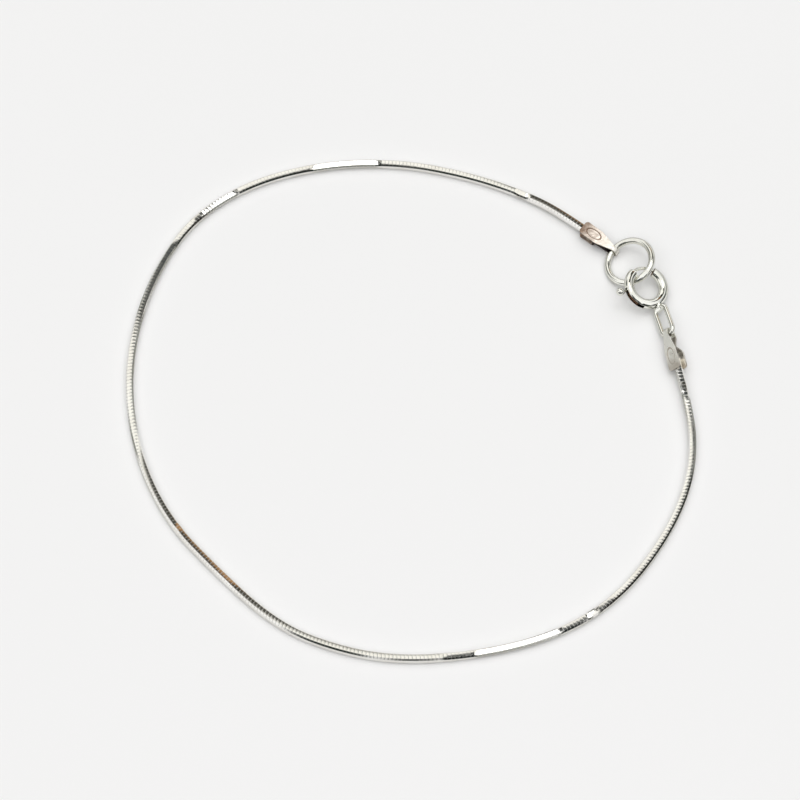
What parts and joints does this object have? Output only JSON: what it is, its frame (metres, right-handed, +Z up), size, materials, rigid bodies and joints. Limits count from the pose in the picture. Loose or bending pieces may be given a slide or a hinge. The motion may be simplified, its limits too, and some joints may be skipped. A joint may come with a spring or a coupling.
{
  "type": "chain anklet",
  "caption": "Fine square snake-chain anklet in polished silver, closed by a spring-ring clasp through a jump ring, with folded sheet tags on the chain's ends, lying as a loop.",
  "frame": {"origin": "on the surface that the anklet lies on, under the middle of its whole loop", "axes": "+Z up out of that surface; +Y away from the viewer and +X to the viewer's right, so that the clasp lies at the loop's right side, +X and +Y of the middle"},
  "size_m": [0.0735, 0.0722, 0.004],
  "materials": {
    "silver_chain": "polished sterling silver, finely ribbed across the chain",
    "silver_findings": "polished sterling silver, mirror bright"
  },
  "bodies": {
    "anklet": {"snake_chain": "silver_chain", "ring_end_tag": "silver_findings", "jump_ring": "silver_findings", "spring_ring_case": "silver_findings", "clasp_end_tag": "silver_findings"},
    "trigger": {"clasp_trigger": "silver_findings"}
  },
  "joints": [
    {"name": "trigger_slide_round_ring", "type": "hinge", "parent": "anklet", "child": "trigger", "pos_m": [0.03085, 0.01621, 0.00184], "axis": [0.3397, -0.0936, 0.9359], "range_deg": [0, 55], "stiffness_Nm_per_rad": 0.0005, "springref_deg": -17.19}
  ]
}
